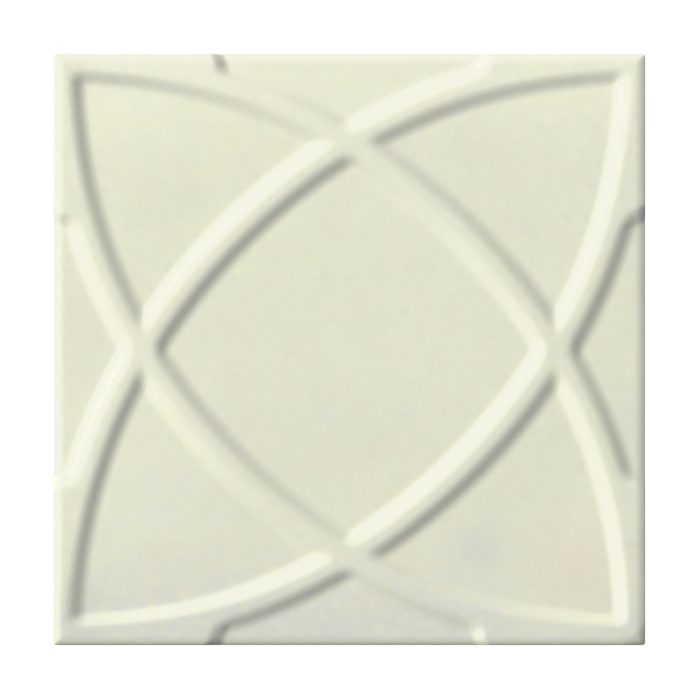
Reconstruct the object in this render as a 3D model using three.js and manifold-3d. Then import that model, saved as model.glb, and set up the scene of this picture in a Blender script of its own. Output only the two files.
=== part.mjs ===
// Square relief wall tile in glazed porcelain, pressed and fired as one piece.
// Four round ribs, each a quarter of a circle, cross between the corners and leave sunken fields.
// Millimetres, +Z up. The origin is the middle of the back, and the relief faces up.
import * as THREE from "three";
import { mergeVertices } from "three/addons/utils/BufferGeometryUtils.js";
import Module from "manifold-3d";

const wasm = await Module();
wasm.setup();

// Driving dimensions of the tile
const tileSide = 148;
const fieldThickness = 7.5; // from the back up to the sunken fields
const reliefHeight = 1.5; // from the fields up to the crest of the ribs
const ribWidth = 12.2; // from foot to foot across a rib
const crestWidth = 1.1; // the level top of a rib
const crestInset = 2.1; // from the tile's edge to the middle of a rib, where the rib ends in a corner
const padTop = 2.3; // from the middle of a rib to the upper edge of the pad where two ribs cross
const padFoot = 5.5; // from the middle of a rib to the foot of the same pad
const rollWidth = 2.4; // how far the rounded glazed edge reaches in over the face
const rollDrop = 0.65; // how far the same edge reaches down the side
const sideFieldLength = 61.6; // between the two blunt ends of a side field, along the tile's edge
const shoulderRun = 5.25; // how far each blunt end takes to rise to the crest
const shoulderLean = THREE.MathUtils.degToRad(15); // the same blunt ends lean in
const backChamfer = 0.6;

// The keys are shallow square pockets in the back, which the adhesive grips
const keyCount = 6; // along each side
const keyDepth = 0.8;
const keyLand = 4; // between two pockets
const keyMargin = 9; // from the outer pockets to the tile's edge
const keyDraft = 0.4; // how much each wall of a pocket leans in over its depth

// How finely the round surfaces are divided
const ribSteps = 40; // along a quarter circle
const flankSteps = 6; // from the crest to the foot of a rib
const shoulderSteps = 10;
const rollSteps = 5;

// Sizes that follow from the driving ones
const half = tileSide / 2;
const flank = (ribWidth - crestWidth) / 2;
const crestLevel = fieldThickness + reliefHeight;
const crestRadius = tileSide - crestInset;
const shoulderFoot = (tileSide - sideFieldLength) / 2;
const shoulderTop = shoulderFoot - shoulderRun;
const rootLevel = fieldThickness / 2; // the relief is rooted this deep in the slab
const shoulderOuterRadius = Math.hypot(tileSide, shoulderFoot) + rollWidth;

// Turns a closed three.js geometry into a solid that can be joined and cut.
function solidOf(geometry) {
  const bare = geometry.clone();
  bare.deleteAttribute("normal");
  bare.deleteAttribute("uv");
  const merged = mergeVertices(bare, 1e-4);
  const mesh = new wasm.Mesh({
    numProp: 3,
    vertProperties: merged.attributes.position.array,
    triVerts: Uint32Array.from(merged.index.array),
  });
  return new wasm.Manifold(mesh);
}

// Turns a finished solid back into a three.js geometry.
function geometryOf(solid) {
  const mesh = solid.getMesh();
  const geometry = new THREE.BufferGeometry();
  geometry.setAttribute("position", new THREE.BufferAttribute(mesh.vertProperties, 3));
  geometry.setIndex(new THREE.BufferAttribute(mesh.triVerts, 1));
  geometry.computeVertexNormals();
  return geometry;
}

function joined(solids) {
  return solids.reduce((whole, next) => whole.add(next));
}

// The section of every slope is half a cosine wave: level at the crest and at the foot.
function slopeLevel(offset, run) {
  return fieldThickness + reliefHeight * Math.cos((Math.PI * offset) / (2 * run)) ** 2;
}

// A bar with its upper long edges rolled over and its lower ones chamfered, as long as the tile.
function rolledBar(height) {
  const section = new THREE.Shape();
  section.moveTo(-half + backChamfer, 0);
  section.lineTo(half - backChamfer, 0);
  section.lineTo(half, backChamfer);
  section.lineTo(half, height - rollDrop);
  section.absellipse(half - rollWidth, height - rollDrop, rollWidth, rollDrop, 0, Math.PI / 2);
  section.lineTo(-half + rollWidth, height);
  section.absellipse(-half + rollWidth, height - rollDrop, rollWidth, rollDrop, Math.PI / 2, Math.PI);
  section.lineTo(-half, backChamfer);
  section.closePath();
  const bar = new THREE.ExtrudeGeometry(section, {
    depth: tileSide,
    bevelEnabled: false,
    curveSegments: rollSteps,
  });
  bar.translate(0, 0, -half);
  bar.rotateX(Math.PI / 2);
  return bar;
}

// A block with all four upper edges rolled over is what two crossing bars share.
function rolledBlock(height) {
  const across = solidOf(rolledBar(height));
  const along = solidOf(rolledBar(height).rotateZ(Math.PI / 2));
  return across.intersect(along);
}

// Turns a closed section, drawn as radius and level, round the vertical line through a corner.
function turnedAboutCorner(section) {
  const ring = new THREE.LatheGeometry(section, 4 * ribSteps);
  ring.rotateX(Math.PI / 2);
  ring.translate(-half, -half, 0);
  return solidOf(ring);
}

function ribRing() {
  const outer = [];
  const inner = [];
  for (let step = 0; step <= flankSteps; step += 1) {
    const offset = (flank * step) / flankSteps;
    const fromCrest = crestWidth / 2 + offset;
    outer.unshift(new THREE.Vector2(crestRadius + fromCrest, slopeLevel(offset, flank)));
    inner.push(new THREE.Vector2(crestRadius - fromCrest, slopeLevel(offset, flank)));
  }
  const section = [
    new THREE.Vector2(crestRadius - ribWidth / 2, rootLevel),
    new THREE.Vector2(crestRadius + ribWidth / 2, rootLevel),
    ...outer,
    ...inner,
  ];
  section.push(section[0].clone());
  return turnedAboutCorner(section);
}

// Where two ribs cross, the clay fills the valleys between them up to a four-sided pad.
function crossingPad() {
  const lean = Math.asin(half / crestRadius); // of either rib, from the line through both their corners
  const depth = crestLevel - rootLevel;
  const spread = ((padFoot - padTop) * depth) / reliefHeight;
  const pad = new THREE.CylinderGeometry(padTop, padTop + spread, depth, 4);
  pad.rotateX(Math.PI / 2);
  pad.scale(1 / Math.cos(lean), 1 / Math.sin(lean), 1);
  pad.translate(half - crestRadius * Math.cos(lean), 0, (crestLevel + rootLevel) / 2);
  return solidOf(pad);
}

// Outside the crest, the corners of the tile are level with it.
function borderRing() {
  const section = [
    new THREE.Vector2(crestRadius, rootLevel),
    new THREE.Vector2(shoulderOuterRadius, rootLevel),
    new THREE.Vector2(shoulderOuterRadius, crestLevel),
    new THREE.Vector2(crestRadius, crestLevel),
  ];
  section.push(section[0].clone());
  return turnedAboutCorner(section);
}

// A block that fills the top edge from the left corner to where the side field begins.
function shoulderBlock() {
  const section = new THREE.Shape();
  const overrun = rollWidth + ribWidth / 2;
  section.moveTo(-overrun, rootLevel);
  section.lineTo(shoulderFoot, rootLevel);
  for (let step = shoulderSteps; step >= 0; step -= 1) {
    const offset = (shoulderRun * step) / shoulderSteps;
    section.lineTo(shoulderTop + offset, slopeLevel(offset, shoulderRun));
  }
  section.lineTo(-overrun, crestLevel);
  section.closePath();
  const length = 2 * ribWidth;
  const block = new THREE.ExtrudeGeometry(section, { depth: length, bevelEnabled: false });
  block.translate(-shoulderFoot, 0, -overrun);
  block.rotateX(Math.PI / 2);
  block.rotateZ(shoulderLean);
  block.translate(shoulderFoot - half, half, 0);
  return solidOf(block);
}

// The two shoulders of one quarter circle mirror each other across the diagonal through its centre.
function shoulderPair() {
  const upper = shoulderBlock();
  const acrossDiagonal = new THREE.Matrix4().set(0, 1, 0, 0, 1, 0, 0, 0, 0, 0, 1, 0, 0, 0, 0, 1);
  const right = upper.transform(acrossDiagonal.toArray());
  return upper.add(right).intersect(borderRing());
}

// The same relief, seen from each of the four corners.
function reliefAllRound() {
  const oneCorner = ribRing().add(shoulderPair()).add(crossingPad());
  const turns = [0, 90, 180, 270];
  return joined(turns.map((angle) => oneCorner.rotate([0, 0, angle])));
}

// Square pockets with sloping walls, sunk into the back.
function keyPockets() {
  const mouth = (tileSide - 2 * keyMargin - (keyCount - 1) * keyLand) / keyCount;
  const pitch = mouth + keyLand;
  const first = -((keyCount - 1) * pitch) / 2;
  const wide = mouth + 2 * keyDraft;
  const narrow = mouth - 2 * keyDraft;
  const pockets = [];
  for (let row = 0; row < keyCount; row += 1) {
    for (let column = 0; column < keyCount; column += 1) {
      const pocket = new THREE.CylinderGeometry(
        narrow / Math.SQRT2,
        wide / Math.SQRT2,
        2 * keyDepth,
        4,
      );
      pocket.rotateY(Math.PI / 4);
      pocket.rotateX(Math.PI / 2);
      pocket.translate(first + column * pitch, first + row * pitch, 0);
      pockets.push(solidOf(pocket));
    }
  }
  return joined(pockets);
}

// The slab, the relief trimmed by the tile's rolled outline, and the keys
const slab = rolledBlock(fieldThickness);
const relief = reliefAllRound().intersect(rolledBlock(crestLevel));
const body = slab.add(relief).subtract(keyPockets());

const glazedPorcelain = new THREE.MeshStandardMaterial({
  color: 0xe1e2cc,
  roughness: 0.3,
  metalness: 0,
});

const tile = new THREE.Mesh(geometryOf(body), glazedPorcelain);
tile.name = "relief_tile";

const part = new THREE.Group();
part.add(tile);

export default part;
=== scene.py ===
# %% [markdown]
# This lesson models and finishes one porcelain wall tile. The real tile is a slab of fine clay, pressed
# in a steel die that carries the pattern, dipped in glaze on its face and fired. Four round ribs cross
# over the face, each a quarter of a circle drawn about one corner, and the fields between them are
# sunken. The slab already exists as a measured solid. It is loaded first, so that every size below starts
# from it.

import math

import bpy
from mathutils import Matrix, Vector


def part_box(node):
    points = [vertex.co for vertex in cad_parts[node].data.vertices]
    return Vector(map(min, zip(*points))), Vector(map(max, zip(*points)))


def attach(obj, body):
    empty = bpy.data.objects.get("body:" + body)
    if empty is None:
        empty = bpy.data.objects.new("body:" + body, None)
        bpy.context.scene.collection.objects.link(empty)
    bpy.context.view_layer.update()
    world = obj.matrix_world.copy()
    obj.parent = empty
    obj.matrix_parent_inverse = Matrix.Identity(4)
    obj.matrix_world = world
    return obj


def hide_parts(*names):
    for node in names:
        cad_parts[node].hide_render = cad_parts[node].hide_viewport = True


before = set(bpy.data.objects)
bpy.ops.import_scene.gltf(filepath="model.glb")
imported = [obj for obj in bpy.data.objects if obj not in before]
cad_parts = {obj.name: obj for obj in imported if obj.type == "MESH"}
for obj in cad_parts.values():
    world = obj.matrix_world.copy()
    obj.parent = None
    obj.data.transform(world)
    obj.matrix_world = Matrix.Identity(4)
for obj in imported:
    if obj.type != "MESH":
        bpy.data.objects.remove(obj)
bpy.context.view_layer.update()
slab_low, slab_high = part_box("relief_tile")
side = slab_high.x - slab_low.x
crest_level = slab_high.z
print(f"slab: {side * 1000:.1f} mm square, {crest_level * 1000:.1f} mm thick over the ribs")

# %% [markdown]
# The sizes of the relief are written down once, in metres, because Blender's own unit is the metre. The
# crest is the level top of a rib, and a flank is the slope beside it. The roll is the edge that the glaze
# rounds off. The shoulders are the blunt ends of the four side fields, where they stop short of the
# tile's corners.

# %% Sizes of the face
millimetre = 0.001
half = side / 2
relief_height = 1.5 * millimetre
rib_width = 12.2 * millimetre
crest_width = 1.1 * millimetre
crest_inset = 2.1 * millimetre
roll_width = 2.5 * millimetre
roll_fall = 0.58 * millimetre
arris_width = 0.3 * millimetre
arris_drop = 0.07 * millimetre
roll_drop = roll_fall + arris_drop
side_field_length = 62.2 * millimetre
shoulder_spread = 0.35  # how much longer the run gets for each millimetre inwards
shoulder_longest_run = 5.8 * millimetre
shoulder_easing = 0.28  # the share of the run that bends at the top, and again at the foot
shoulder_lean = math.radians(19)

field_level = crest_level - relief_height
flank = (rib_width - crest_width) / 2
crest_radius = side - crest_inset
shoulder_foot = (side - side_field_length) / 2
print(f"crest circles: {crest_radius * 1000:.2f} mm in radius")
print(f"shoulders end {shoulder_foot * 1000:.2f} mm from the tile's corners")

# %% [markdown]
# The camera comes early, because it decides which details matter. The tile is photographed from straight
# above, so the camera looks down on its middle. A long lens keeps the perspective faint. The distance
# follows from how wide the tile is in the picture, and half a pixel of the picture moves the tile off the
# exact centre.

# %% Camera
picture_size = 700  # pixels
tile_in_picture = 591.6  # pixels
tile_centre_in_picture = (349.5, 349.7)  # pixels from the left and from the top
lens = 300  # millimetres
sensor = 36  # millimetres

pixel = side / tile_in_picture
picture_width = pixel * picture_size
edge_level = crest_level - roll_drop
distance = picture_width * lens / sensor


def in_picture(across, down):
    """Where a pixel of the picture lies on the tile, in metres."""
    return (across - tile_centre_in_picture[0]) * pixel, (tile_centre_in_picture[1] - down) * pixel


centre_x, centre_y = in_picture(picture_size / 2, picture_size / 2)
bpy.ops.object.select_all(action="DESELECT")
bpy.ops.object.camera_add(location=(centre_x, centre_y, edge_level + distance), rotation=(0, 0, 0))
camera = bpy.context.object
camera.name = "camera"
camera.data.lens = lens
camera.data.sensor_width = sensor
camera.data.clip_start = 0.01
camera.data.clip_end = 20
bpy.context.scene.camera = camera
print(f"camera: {distance * 1000:.0f} mm above the tile's edge, {picture_width * 1000:.1f} mm wide view")

# %% [markdown]
# The face could be carved with booleans from four turned rings, as the die was cut. Their sharp seams
# would then have to be rounded one by one, and on the real tile the clay fills the valleys where two ribs
# cross. It is easier to think of the face as a height map. A fine grid is weight painted by a formula,
# and a Displace modifier lifts every point by its weight. A flank is a smooth wave, level at its top and
# at its foot, and a shoulder is an even ramp with short bends. Near the ends of most ribs the crest
# spreads inwards and the flank gets steeper. Heights are joined by what each leaves open: two ribs that
# leave half open leave a quarter together.

# %% How high each point of the face is
sway = 0.3 * millimetre  # the ribs aren't perfect circles: they swell out and in by this much
sway_turn = math.radians(54)  # from one swelling to the next, seen from the corner
first_swelling = math.radians(18)
spread_turn_at_sides = math.radians(20)  # the crest spreads over this turn at the end that runs up or down
level_end = math.radians(88)  # from this turn on the spread at the level end is full
spread_turn_at_level = math.radians(22)  # and over this turn before the end that runs level
outer_change = 0.7  # millimetres by which the upper left rib's outer flank narrows along its length
outer_narrowest = -0.3  # millimetres, against the other flanks
outer_change_start = math.radians(30)
outer_change_turn = math.radians(35)
# Each rib is named after the corner that it is drawn about, by whether that lies to the right and on top.
# Both tables are in millimetres. The first says how far the crest spreads inwards where the rib runs up or
# down, and where it runs level. The second gives the run, at the tile's edge, of the shoulder on the opposite
# level edge, and of the one on the opposite upright edge.
crest_spreads = {
    (False, True): (0.25, 1.4),
    (True, True): (0.25, 1.4),
    (False, False): (0.8, 0.5),
    (True, False): (-0.4, 0.5),
}
shoulder_runs = {
    (False, True): (4.6, 5.2),
    (True, True): (3.1, 3.3),
    (False, False): (3.1, 3.4),
    (True, False): (5.0, 3.9),
}


def slope(run_share):
    """Height on a slope, from 1 at its top, where run_share is 0, to 0 at its foot, where it is 1."""
    share = min(max(run_share, 0), 1)
    gentle = math.cos(math.pi / 2 * share) ** 2
    steep = 1 - share + math.sin(2 * math.pi * share) / (2 * math.pi)
    return (gentle + steep) / 2


def ramp(run_share):
    """Like slope, but even between a short bend at the top and one at the foot."""
    share = min(max(run_share, 0), 1)
    steepness = 1 / (1 - shoulder_easing)
    if share < shoulder_easing:
        return 1 - steepness * share**2 / (2 * shoulder_easing)
    if share > 1 - shoulder_easing:
        return steepness * (1 - share) ** 2 / (2 * shoulder_easing)
    return 1 - steepness * (share - shoulder_easing / 2)


def shoulder(run_at_edge, along, inward):
    """Height of a shoulder. along is measured from the tile's corner and inward from the tile's edge."""
    run = min(run_at_edge * millimetre + inward * shoulder_spread, shoulder_longest_run)
    beyond_foot = along - shoulder_foot - inward * math.tan(shoulder_lean)
    return ramp((beyond_foot + run) / run)


def left_open(x, y, corner_x, corner_y):
    """What the rib about one corner and its two shoulders leave open: 1 in a field, 0 on the crest."""
    from_x, from_y = abs(x - corner_x), abs(y - corner_y)
    turn = math.atan2(from_y, from_x)
    swelling = sway * math.cos(2 * math.pi * (turn - first_swelling) / sway_turn)
    past_crest = math.hypot(from_x, from_y) - crest_radius - swelling
    rib_name = (corner_x > 0, corner_y > 0)
    if past_crest < 0:
        at_sides, at_level = crest_spreads[rib_name]
        spread = at_sides * slope(turn / spread_turn_at_sides) * millimetre
        spread += at_level * slope((level_end - turn) / spread_turn_at_level) * millimetre
        return 1 - slope((-past_crest - crest_width / 2 - spread) / (flank - spread))
    outer_flank = flank
    if rib_name == (False, True):
        change = outer_change * slope((turn - outer_change_start) / outer_change_turn) + outer_narrowest
        outer_flank += change * millimetre
    rib = slope((past_crest - crest_width / 2) / outer_flank)
    level_run, upright_run = shoulder_runs[rib_name]
    shoulders = max(shoulder(level_run, from_x, side - from_y), shoulder(upright_run, from_y, side - from_x))
    return (1 - rib) * (1 - shoulders)


def relief_share(x, y):
    """The height of the relief at a point: 0 in a field, 1 on a crest."""
    openness = 1
    for corner_x in (-half, half):
        for corner_y in (-half, half):
            openness *= left_open(x, y, corner_x, corner_y)
    return 1 - openness


print(f"relief: centre {relief_share(0, 0):.2f}, corner {relief_share(half, half):.2f}")

# %% [markdown]
# The grid stops a little over two millimetres short of the edge. Its cells are a little over half a
# millimetre, which puts ten of them on each flank and still keeps the piece under two hundred thousand
# triangles. The gentle beginning of the edge roll lies on the grid too, so a second lift lowers its outer
# rows.

# %% Press the face
face_cells = 264
border_width = 2.2 * millimetre  # outside the grid


def lift(piece, name, height, share_at):
    """Raises a piece's points by height times their share, by a weight group and a Displace modifier."""
    group = piece.vertex_groups.new(name=name)
    for vertex in piece.data.vertices:
        share = share_at(vertex.co)
        if share > 0:
            group.add([vertex.index], share, "REPLACE")
    press = piece.modifiers.new(name, "DISPLACE")
    press.direction = "Z"
    press.mid_level = 0
    press.strength = height
    press.vertex_group = name
    bpy.ops.object.modifier_apply(modifier=name)
    piece.vertex_groups.remove(piece.vertex_groups[name])


bpy.ops.object.select_all(action="DESELECT")
bpy.ops.mesh.primitive_grid_add(
    x_subdivisions=face_cells,
    y_subdivisions=face_cells,
    size=side - 2 * border_width,
    location=(0, 0, field_level),
)
tile = bpy.context.object
tile.name = "glazed_tile"
tile.data.name = "glazed_tile"
bpy.ops.object.transform_apply(location=True, rotation=True, scale=True)
lift(tile, "relief", relief_height, lambda point: relief_share(point.x, point.y))


def edge_drop(from_edge):
    """How far the face has come down at a distance from the tile's edge: a slow fall, then a tight arris."""
    fall = roll_fall * max(1 - from_edge / roll_width, 0) ** 2
    over = max(1 - from_edge / arris_width, 0)
    return fall + arris_drop * (1 - math.sqrt(1 - over**2))


lift(tile, "roll", -roll_drop, lambda point: edge_drop(half - max(abs(point.x), abs(point.y))) / roll_drop)
face_top = max(vertex.co.z for vertex in tile.data.vertices)
print(f"face: {len(tile.data.polygons)} cells, lifted to {face_top * 1000:.2f} mm")

# %% [markdown]
# The edge of a glazed tile is never sharp, because the glaze pulls back from it while it is molten. The
# open border of the face is extruded outwards and down in small steps, first along the slow fall and then
# round the tight arris. Each step scales the border about the tile's middle, so it stays square and keeps
# the relief.

# %% Roll the edge over
fall_steps = 4
arris_steps = 6
border = half - border_width


def extrude_border(outward, down):
    """Adds one strip round the open border, which is selected, and leaves the new border selected."""
    global border
    bpy.ops.mesh.extrude_edges_move(TRANSFORM_OT_translate={"value": (0, 0, -down)})
    growth = (border + outward) / border
    bpy.ops.transform.resize(value=(growth, growth, 1), center_override=(0, 0, 0))
    border += outward


def level_border(level):
    """Lays the selected border flat at one level."""
    bpy.ops.transform.resize(value=(1, 1, 0), center_override=(0, 0, level))


bpy.ops.object.mode_set(mode="EDIT")
bpy.ops.mesh.select_mode(type="EDGE")
bpy.ops.mesh.select_all(action="DESELECT")
bpy.ops.mesh.select_non_manifold(extend=False, use_wire=False, use_multi_face=False, use_non_contiguous=False)
fall_shares = [step / fall_steps for step in range(1, fall_steps + 1)]
fall_stops = [border_width + (arris_width - border_width) * share for share in fall_shares]
arris_turns = [math.pi / 2 * step / arris_steps for step in range(1, arris_steps + 1)]
arris_stops = [arris_width * (1 - math.sin(turn)) for turn in arris_turns]
from_edge = border_width
for stop in fall_stops + arris_stops:
    extrude_border(from_edge - stop, edge_drop(stop) - edge_drop(from_edge))
    from_edge = stop
print(f"edge roll: {fall_steps + arris_steps} strips, border now {2 * border * 1000:.2f} mm wide")

# %% [markdown]
# Below the roll the sides run straight down. The die is a hair narrower towards the back, so that the
# pressed slab lets go of it, and a small chamfer runs round the back. Flattening the border first hides
# the ups and downs of the relief, so everything below is level.

# %% Sides and back chamfer
side_rows = [6.2 * millimetre, 5.4 * millimetre, 4.5 * millimetre]  # levels of the straight part
draft = 0.12 * millimetre
draft_level = 3.4 * millimetre  # where the draft is complete
back_chamfer = 0.6 * millimetre

for level in side_rows:
    extrude_border(0, 0)
    level_border(level)
extrude_border(-draft, 0)
level_border(draft_level)
extrude_border(0, 0)
level_border(back_chamfer)
extrude_border(-back_chamfer, 0)
level_border(0)
print(f"sides: {len(side_rows) + 2} rows, then the chamfer, {2 * border * 1000:.2f} mm wide at the back")

# %% [markdown]
# Adhesive grips a tile by shallow pockets in its back. They are modelled as by hand: a coarse grid is
# added to the same mesh, each of its cells is inset to leave a land between them, and a second inset goes
# in and up at once, which slopes the walls. A small bevel softens the rims, and a fill joins the grid to
# the tile's border.

# %% Keys in the back
key_count = 6
key_depth = 0.8 * millimetre
key_land = 4 * millimetre
key_margin = 9 * millimetre
key_draft = 0.4 * millimetre
key_rim = 0.25 * millimetre
height_slack = 0.1 * millimetre  # both slacks only help to find the rims
wall_slack = 0.05 * millimetre

key_mouth = (side - 2 * key_margin - (key_count - 1) * key_land) / key_count
key_grid = key_count * (key_mouth + key_land)
bpy.ops.mesh.select_all(action="DESELECT")
bpy.ops.mesh.primitive_grid_add(x_subdivisions=key_count, y_subdivisions=key_count, size=key_grid)
bpy.ops.mesh.flip_normals()
bpy.ops.mesh.select_mode(type="FACE")
bpy.ops.mesh.inset(thickness=key_land / 2, use_individual=True)
bpy.ops.mesh.inset(thickness=key_draft, depth=-key_depth, use_individual=True)
bpy.ops.object.mode_set(mode="OBJECT")


def select_edges(piece, wanted):
    """Selects the edges of a piece whose middle point answers to wanted, and enters edit mode."""
    bpy.ops.object.mode_set(mode="EDIT")
    bpy.ops.mesh.select_mode(type="EDGE")
    bpy.ops.mesh.select_all(action="DESELECT")
    bpy.ops.object.mode_set(mode="OBJECT")
    points = piece.data.vertices
    for edge in piece.data.edges:
        first, second = (points[index].co for index in edge.vertices)
        edge.select = wanted(first, second)
    bpy.ops.object.mode_set(mode="EDIT")


def on_key_rim(first, second):
    """True for the edges round a pocket's mouth and down its corners."""
    if max(first.z, second.z) > key_depth + height_slack:
        return False
    pitch = key_mouth + key_land
    for point in (first, second):
        for place in (point.x, point.y):
            from_middle = abs((place / pitch) % 1 - 0.5) * pitch
            if abs(from_middle - key_mouth / 2) > key_draft + wall_slack or abs(place) > key_grid / 2:
                return False
    return True


select_edges(tile, on_key_rim)
bpy.ops.mesh.bevel(offset=key_rim, segments=2, affect="EDGES")
bpy.ops.mesh.select_all(action="DESELECT")
bpy.ops.mesh.select_non_manifold(extend=False, use_wire=False, use_multi_face=False, use_non_contiguous=False)
bpy.ops.mesh.fill(use_beauty=True)
bpy.ops.mesh.select_all(action="SELECT")
bpy.ops.mesh.normals_make_consistent(inside=False)
bpy.ops.mesh.select_all(action="DESELECT")
bpy.ops.mesh.select_non_manifold()
bpy.ops.object.mode_set(mode="OBJECT")
open_edges = sum(edge.select for edge in tile.data.edges)
print(f"keys: {key_count * key_count} pockets, {open_edges} open edges left on the tile")

# %% [markdown]
# Three things make a pressed tile look real. The glaze rounds its corners a little, which a Smooth
# modifier does where a weight group lets it. In the picture the lower right corner has sunk under the
# press: it darkens in a small triangle, while the other three don't. And the lower edge falls away more
# than the other edges do. Both are lifted by a negative height, like the roll.

# %% Soften the corners and the lower edge
corner_reach = 1.3 * millimetre
lower_edge_width = 1.0 * millimetre
lower_edge_drop = 0.33 * millimetre
soft_corner_reach = 25 * pixel  # where the sunken corner begins, across plus down from the tile's corner
soft_corner_easing = 5 * pixel
soft_corner_slope = 0.14
smoothing = 0.5
smoothing_rounds = 6
sharpest_smooth_turn = math.radians(35)


def nearness_to_corner(point):
    """1 on the upright line through a corner, falling to 0 at the corner's reach."""
    away = math.hypot(half - abs(point.x), half - abs(point.y))
    return max(1 - away / corner_reach, 0)


def sunken_share(point):
    """How deep the lower right corner has sunk, from 0 to 1. The sides of the tile move with its face."""
    into = soft_corner_reach - (half - point.x) - (half + point.y)
    if into <= 0 or point.z < side_rows[0]:
        return 0
    return into**2 / (into + soft_corner_easing) / soft_corner_deepest


def fallen_share(point):
    """How much of the extra fall along the lower edge a point has."""
    if point.z < side_rows[0]:
        return 0
    return max(1 - (half + point.y) / lower_edge_width, 0) ** 2


soft_corner_deepest = soft_corner_reach**2 / (soft_corner_reach + soft_corner_easing)
lift(tile, "sunken_corner", -soft_corner_slope * soft_corner_deepest, sunken_share)
lift(tile, "lower_edge", -lower_edge_drop, fallen_share)

corners = tile.vertex_groups.new(name="corners")
for vertex in tile.data.vertices:
    nearness = nearness_to_corner(vertex.co)
    if nearness > 0 and vertex.co.z > back_chamfer / 2:
        corners.add([vertex.index], nearness, "REPLACE")
smooth = tile.modifiers.new("corners", "SMOOTH")
smooth.factor = smoothing
smooth.iterations = smoothing_rounds
smooth.vertex_group = "corners"
bpy.ops.object.modifier_apply(modifier="corners")
tile.vertex_groups.remove(tile.vertex_groups["corners"])
bpy.ops.object.shade_smooth_by_angle(angle=sharpest_smooth_turn)
triangles = sum(len(face.vertices) - 2 for face in tile.data.polygons)
tile_top = max(vertex.co.z for vertex in tile.data.vertices)
print(f"tile: {triangles} triangles, crest at {tile_top * 1000:.2f} mm")

# %% [markdown]
# Materials are easier to read as sums than as wires. This small class wraps the output of a node. Adding,
# multiplying or subtracting such values adds the Math nodes behind them, and numbers may stand on either
# side. The Finish class holds a material and adds any other node from its type, its settings and its
# sockets.


# %% Shader maths
class Value:
    """The output of a shader node, which can be used in an expression."""

    def __init__(self, finish, socket):
        self.finish = finish
        self.socket = socket

    def with_math(self, operation, first, second):
        return self.finish.node("ShaderNodeMath", {"operation": operation}, {0: first, 1: second})

    def __add__(self, other):
        return self.with_math("ADD", self, other)

    def __sub__(self, other):
        return self.with_math("SUBTRACT", self, other)

    def __rsub__(self, other):
        return self.with_math("SUBTRACT", other, self)

    def __mul__(self, other):
        return self.with_math("MULTIPLY", self, other)

    __radd__ = __add__
    __rmul__ = __mul__


class Finish:
    """A material, with short ways to add its nodes."""

    def __init__(self, name):
        self.material = bpy.data.materials.new(name)
        self.material.use_nodes = True
        self.tree = self.material.node_tree
        self.tree.nodes.clear()

    def node(self, kind, settings=None, sockets=None, output=0):
        made = self.tree.nodes.new(kind)
        for name, setting in (settings or {}).items():
            setattr(made, name, setting)
        for name, given in (sockets or {}).items():
            if isinstance(given, Value):
                self.tree.links.new(given.socket, made.inputs[name])
            else:
                made.inputs[name].default_value = given
        return Value(self, made.outputs[output]) if made.outputs else None

    def noise(self, place, scale, detail=2, roughness=0.5, offset=(0, 0, 0)):
        """Cloudy noise from 0 to 1, with scale features in a metre. The offset picks another part of it."""
        moved = self.node("ShaderNodeVectorMath", {"operation": "ADD"}, {0: place, 1: offset})
        sockets = {"Vector": moved, "Scale": scale, "Detail": detail, "Roughness": roughness}
        return self.node("ShaderNodeTexNoise", {}, sockets)

    def rise(self, value, low, high):
        """0 below low, 1 above high and a smooth step between them."""
        sockets = {"Value": value, "From Min": low, "From Max": high, "To Min": 0, "To Max": 1}
        return self.node("ShaderNodeMapRange", {"interpolation_type": "SMOOTHSTEP"}, sockets)

    def mix(self, share, first, second):
        """A colour that goes from the first to the second as the share goes from 0 to 1."""
        return self.node("ShaderNodeMix", {"data_type": "RGBA"}, {0: share, 6: first, 7: second}, 2)

    def tint(self, colour, strength):
        """A colour made lighter or darker by a strength that varies."""
        sockets = {0: colour, "Scale": strength}
        return self.node("ShaderNodeVectorMath", {"operation": "SCALE"}, sockets)


def colour(red, green, blue):
    return (red, green, blue, 1)


print("shader maths ready")

# %% [markdown]
# The glaze is a pale green cream. It is a glass layer over a whiter body, so its colour depends on how
# thick it lies: a hair paler on slopes and crests, and deepest in the fields. Slow clouds and fine
# mottling change its tone by a few parts in a hundred, and here and there it has a faint blush of pink, a
# grey haze or a creamy fleck. The edge, where the glaze is thinnest, is the palest of all.

# %% Glaze colours and the patterns in them
deep_glaze = colour(0.732, 0.738, 0.554)
slope_glaze = colour(0.738, 0.745, 0.566)
crest_glaze = colour(0.745, 0.751, 0.570)
edge_glaze = colour(0.748, 0.750, 0.592)
pink_blush = colour(0.748, 0.708, 0.526)
grey_haze = colour(0.658, 0.690, 0.553)
# Painted shade: the grey the lowest band of the face is turned to, as the light falls off towards the bottom
painted_low_shade = colour(0.643, 0.655, 0.560)
creamy_fleck = colour(0.738, 0.745, 0.520)
edge_glaze_start = 2.4 * millimetre  # from the tile's edge
edge_glaze_full = 0.6 * millimetre

finish = Finish("glazed_porcelain")
place = finish.node("ShaderNodeTexCoord", output="Object")
normal = finish.node("ShaderNodeTexCoord", output="Normal")
x, y, z = (finish.node("ShaderNodeSeparateXYZ", {}, {0: place}, axis) for axis in "XYZ")
up = finish.node("ShaderNodeSeparateXYZ", {}, {0: normal}, "Z")


def patch(across, down, reach):
    """A round soft patch at a pixel of the picture, 1 in its middle and 0 at its reach in pixels."""
    patch_x, patch_y = in_picture(across, down)
    middle = finish.node("ShaderNodeCombineXYZ", {}, {0: patch_x, 1: patch_y, 2: field_level})
    away = finish.node("ShaderNodeVectorMath", {"operation": "DISTANCE"}, {0: place, 1: middle}, "Value")
    return 1 - finish.rise(away, 0, reach * pixel)


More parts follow.
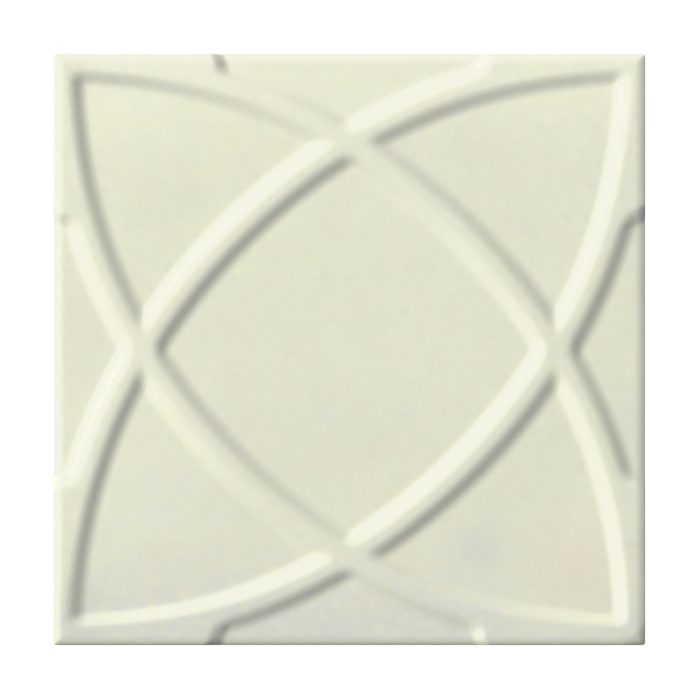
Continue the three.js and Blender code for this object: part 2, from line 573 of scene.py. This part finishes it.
slopes = finish.rise(1 - up, 0.003, 0.05)
crests = finish.rise(z, crest_level - relief_height * 0.3, crest_level)
absolute = {"operation": "ABSOLUTE"}
sideways, upright = (finish.node("ShaderNodeMath", absolute, {0: coordinate}) for coordinate in (x, y))
from_middle = finish.node("ShaderNodeMath", {"operation": "MAXIMUM"}, {0: sideways, 1: upright})
edges = finish.rise(from_middle, half - edge_glaze_start, half - edge_glaze_full)
clouds = finish.noise(place, 26, 3, 0.5, (0.31, 0.12, 0))
mottle = finish.noise(place, 150, 3, 0.6, (0.05, 0.4, 0))
flecks = finish.noise(place, 420, 3, 0.6, (0.4, 0.7, 0))
grain = finish.noise(place, 1300, 2, 0.6)
blush_clouds = finish.rise(finish.noise(place, 48, 2, 0.5, (0.7, 0.2, 0)), 0.56, 0.74)
haze_clouds = finish.rise(finish.noise(place, 36, 2, 0.5, (0.1, 0.9, 0)), 0.58, 0.76)
fine_blush = finish.rise(finish.noise(place, 190, 2, 0.6, (0.2, 0.6, 0)), 0.5, 0.75)
fine_haze = finish.rise(finish.noise(place, 170, 2, 0.6, (0.8, 0.3, 0)), 0.5, 0.75)
creamy = finish.rise(finish.noise(place, 330, 3, 0.6, (0.5, 0.1, 0)), 0.4, 0.7) * 0.6
print(f"glaze patterns: {len(finish.tree.nodes)} nodes so far")

# %% [markdown]
# Every tile has marks of its own. These are round soft patches, each at a place read off the picture,
# where the glaze is a little pinker, greyer, paler or darker. The picture also gets greyer towards its
# lower edge and lighter towards its upper edge, as the light falls off from top to bottom. This is
# painted light: a painted shade greys the lowest band, less on slopes and not in the lower right petal,
# and the top band is painted lighter. Some of these marks may come from the light in the picture and
# not from the glaze.

# %% Marks of this tile, and painted light and shade from top to bottom
lower_right_blush = patch(578, 560, 75)
upper_left_blush = patch(78, 72, 32)
grey_spot = patch(478, 551, 42)
clear_petal = patch(570, 575, 130)
pale_lower_left = patch(150, 510, 130)
dark_upper_left_rib = patch(173, 200, 75)
dark_upper_left_corner = patch(72, 68, 40)
dark_left_field = patch(85, 345, 70)
dark_lower_left_corner = patch(75, 620, 70)
dark_lower_left_rib = patch(240, 470, 120)
light_upper_left_petal = patch(130, 135, 70)
light_upper_right_petal = patch(570, 130, 120)
light_lower_right_petal = patch(575, 520, 80)
band_start = 0.045  # metres from the middle line, up or down
band_end = 0.072
# Painted shade over the lowest band and painted light over the highest, as the light falls off from top to
# bottom
low = finish.rise(0 - y, band_start, band_end) * (1 - clear_petal) * (1 - slopes * 0.5)
high = finish.rise(y, band_start, band_end)
blush = blush_clouds * 0.3 + fine_blush * 0.35 + lower_right_blush * 0.8 + upper_left_blush * 0.4
haze = haze_clouds * 0.22 + fine_haze * 0.25 + grey_spot * 0.8
print(f"marks: {len(finish.tree.nodes)} nodes so far")

# %% [markdown]
# The colours are laid over each other like washes, the widest first. Then one tone, close to 1, makes the
# result a little lighter or darker from place to place.

# %% Glaze
glaze_colour = finish.mix(crests, deep_glaze, crest_glaze)
glaze_colour = finish.mix(slopes, glaze_colour, slope_glaze)
glaze_colour = finish.mix(edges * 0.9, glaze_colour, edge_glaze)
glaze_colour = finish.mix(pale_lower_left * 0.6, glaze_colour, edge_glaze)
# Painted shade: the lowest band is greyed, as the light falls off towards the bottom
glaze_colour = finish.mix(low * 0.78, glaze_colour, painted_low_shade)
glaze_colour = finish.mix(creamy, glaze_colour, creamy_fleck)
glaze_colour = finish.mix(blush, glaze_colour, pink_blush)
glaze_colour = finish.mix(haze, glaze_colour, grey_haze)
tone = 1 + (clouds - 0.5) * 0.055 + (mottle - 0.5) * 0.03 + (flecks - 0.5) * 0.065 + (grain - 0.5) * 0.02
tone = tone - dark_upper_left_rib * 0.015 - dark_upper_left_corner * 0.05
tone = tone - dark_left_field * 0.025 - dark_lower_left_corner * 0.045 - dark_lower_left_rib * 0.02
tone = tone + light_upper_left_petal * 0.02 + light_upper_right_petal * 0.02 + light_lower_right_petal * 0.03
# Painted light: the top band is made lighter and the lower half a little darker, as the light falls off
tone = tone + high * 0.055 - finish.rise(0 - y, 0.01, 0.07) * 0.02
glaze_colour = finish.tint(glaze_colour, tone)
print("glaze colour ready")

# %% [markdown]
# Only the face is glazed. Glaze runs over the edge and stops in an uneven line part of the way down the
# sides, and below it the fired body is bare: off-white, matt and finely grained, with a few dark specks
# of iron. One Principled shader covers both, and a mask from the height and some noise decides between
# them.

# %% Bare body and the glaze line
bare_body = colour(0.70, 0.665, 0.590)
body_speck = colour(0.42, 0.36, 0.30)
glaze_line = 4.3 * millimetre
glaze_run = 4.5 * millimetre  # the line wanders up and down by this times the noise
line_softness = 0.25 * millimetre

run = finish.noise(place, 70, 3, 0.55, (0.2, 0.2, 0.6)) - 0.5
glazed = finish.rise(z + run * glaze_run, glaze_line - line_softness, glaze_line + line_softness)
fine_grain = finish.noise(place, 2600, 3, 0.65)
coarse_grain = finish.noise(place, 420, 3, 0.55, (0.6, 0, 0.3))
specks = finish.rise(finish.noise(place, 1500, 1, 0.5, (0.9, 0.4, 0.2)), 0.72, 0.78)
body_colour = finish.mix(specks * 0.7, bare_body, body_speck)
body_colour = finish.tint(body_colour, 1 + (coarse_grain - 0.5) * 0.14 + (fine_grain - 0.5) * 0.10)
surface_colour = finish.mix(glazed, body_colour, glaze_colour)

glaze_roughness = 0.58 + (mottle - 0.5) * 0.08
body_roughness = 0.78 + (fine_grain - 0.5) * 0.15
surface_roughness = body_roughness + (glaze_roughness - body_roughness) * glazed

orange_peel = finish.noise(place, 420, 2, 0.5, (0.3, 0.3, 0)) * 0.8 + grain * 0.2
relief_of_finish = orange_peel * glazed * 0.012 + (1 - glazed) * (fine_grain * 0.03 + coarse_grain * 0.02)
bump = finish.node("ShaderNodeBump", {}, {"Height": relief_of_finish, "Distance": millimetre, "Strength": 1})
shader = finish.node(
    "ShaderNodeBsdfPrincipled",
    {},
    {"Base Color": surface_colour, "Roughness": surface_roughness, "Normal": bump, "IOR": 1.5},
)
finish.node("ShaderNodeOutputMaterial", {}, {"Surface": shader})
tile.data.materials.append(finish.material)
print(f"finish: {len(finish.tree.nodes)} nodes")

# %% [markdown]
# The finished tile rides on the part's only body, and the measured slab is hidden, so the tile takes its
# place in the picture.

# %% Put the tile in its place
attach(tile, "root")
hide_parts("relief_tile")
print(f"placed: {tile.name}")

# %% [markdown]
# The picture shows the tile cut out on plain white, with no shadow beside it. A real white floor would
# show the shadow, so the Light Path node lets only the camera see the floor as white, and the light that
# bounces meets a plain pale floor. From below the floor is clear, so that the back of the tile can be
# looked at. It lies a hair under the tile, because two surfaces at the same level would flicker through
# each other.

# %% Floor
floor_side = 12
floor_gap = 0.05 * millimetre
floor_colour = colour(0.62, 0.60, 0.48)
white_level = 1.25  # the brightness that the picture shows as white
plain_white = white_level * 1.05  # a little more, so that red, green and blue all reach white

bpy.ops.object.select_all(action="DESELECT")
bpy.ops.mesh.primitive_plane_add(size=floor_side, location=(0, 0, -floor_gap))
floor = bpy.context.object
floor.name = "floor"
floor_finish = Finish("floor_white")
pale_floor = floor_finish.node("ShaderNodeBsdfDiffuse", {}, {"Color": floor_colour})
white_floor = floor_finish.node("ShaderNodeEmission", {}, {"Strength": plain_white})
seen = floor_finish.node("ShaderNodeLightPath", output="Is Camera Ray")
solid_floor = floor_finish.node("ShaderNodeMixShader", {}, {0: seen, 1: pale_floor, 2: white_floor})
clear_floor = floor_finish.node("ShaderNodeBsdfTransparent")
from_below = floor_finish.node("ShaderNodeNewGeometry", output="Backfacing")
shadow = floor_finish.node("ShaderNodeLightPath", output="Is Shadow Ray")
clear = floor_finish.node("ShaderNodeMath", {"operation": "MAXIMUM"}, {0: from_below, 1: shadow})
floor_shader = floor_finish.node("ShaderNodeMixShader", {}, {0: clear, 1: solid_floor, 2: clear_floor})
floor_finish.node("ShaderNodeOutputMaterial", {}, {"Surface": floor_shader})
floor.data.materials.append(floor_finish.material)
print(f"floor: {floor_side} m wide, {floor_gap * 1000:.2f} mm under the tile")

# %% [markdown]
# One large soft lamp stands at the upper left, as the lit flanks of the ribs show, and the sky gives a
# weak cool light from all round, which colours the shaded flanks. A second lamp shines up through the
# clear floor.

# %% Lamps and sky
lamp_size = 2.2
lamp_distance = 5.5
lamp_turn = math.radians(152)  # seen from above, anticlockwise from the right
lamp_height = math.radians(38.5)
lamp_watts = 456
lamp_colour = (1.0, 0.985, 0.97)
under_lamp_place = (0.6, -0.9, -2.4)
under_lamp_tilt = (math.radians(158), math.radians(14), 0)
under_lamp_size = 1.5
under_lamp_watts = 60
sky_colour = colour(0.82, 0.95, 1.65)
sky_strength = 0.12

flat_reach = lamp_distance * math.cos(lamp_height)
lamp_place = (
    flat_reach * math.cos(lamp_turn),
    flat_reach * math.sin(lamp_turn),
    lamp_distance * math.sin(lamp_height),
)
bpy.ops.object.light_add(
    type="AREA",
    location=lamp_place,
    rotation=(0, math.pi / 2 - lamp_height, lamp_turn),
)
lamp = bpy.context.object
lamp.name = "soft_lamp"
lamp.data.shape = "DISK"
lamp.data.size = lamp_size
lamp.data.energy = lamp_watts
lamp.data.color = lamp_colour
lamp.visible_camera = False

bpy.ops.object.light_add(type="AREA", location=under_lamp_place, rotation=under_lamp_tilt)
under_lamp = bpy.context.object
under_lamp.name = "lamp_below"
under_lamp.data.shape = "DISK"
under_lamp.data.size = under_lamp_size
under_lamp.data.energy = under_lamp_watts
under_lamp.visible_camera = False

world = bpy.data.worlds.new("studio")
world.use_nodes = True
world_nodes, world_links = world.node_tree.nodes, world.node_tree.links
sky = world_nodes["Background"]
sky.inputs["Color"].default_value = sky_colour
sky.inputs["Strength"].default_value = sky_strength
backdrop = world_nodes.new("ShaderNodeBackground")
backdrop.inputs["Color"].default_value = colour(1, 1, 1)
backdrop.inputs["Strength"].default_value = plain_white
ray = world_nodes.new("ShaderNodeLightPath")
choice = world_nodes.new("ShaderNodeMixShader")
world_links.new(ray.outputs["Is Camera Ray"], choice.inputs["Fac"])
world_links.new(sky.outputs["Background"], choice.inputs[1])
world_links.new(backdrop.outputs["Background"], choice.inputs[2])
world_links.new(choice.outputs["Shader"], world_nodes["World Output"].inputs["Surface"])
bpy.context.scene.world = world
print(f"lamp: {lamp_distance} m away, {math.degrees(lamp_height):.1f} degrees up")

# %% [markdown]
# In the picture the brightest flanks level off in a flat pale cream well below white, blue before the
# rest. The film has a curve for each colour that levels off there. It belongs to the picture and not to
# the tile.

# %% Film
# Each point of the film is a brightness and the share of white that the picture shows it as.
film_points = [
    (0.25, 0.25),
    (0.5, 0.5),
    (0.72, 0.72),
    (0.78, 0.795),
    (0.84, 0.86),
    (0.92, 0.895),
    (1.12, 0.908),
]
film_blue_points = [
    (0.3, 0.3),
    (0.6, 0.6),
    (0.72, 0.73),
    (0.8, 0.775),
    (0.95, 0.792),
    (1.12, 0.8),
]

view = bpy.context.scene.view_settings
view.view_transform = "Standard"
view.use_curve_mapping = True
film = view.curve_mapping
film.white_level = (white_level, white_level, white_level)
for channel, points in zip(film.curves, (film_points, film_points, film_blue_points)):
    for brightness, shown in points:
        point = channel.points.new(brightness / white_level, shown)
        point.handle_type = "AUTO_CLAMPED"
film.update()
print(f"film: {len(film_points)} points for red and green, {len(film_blue_points)} for blue")
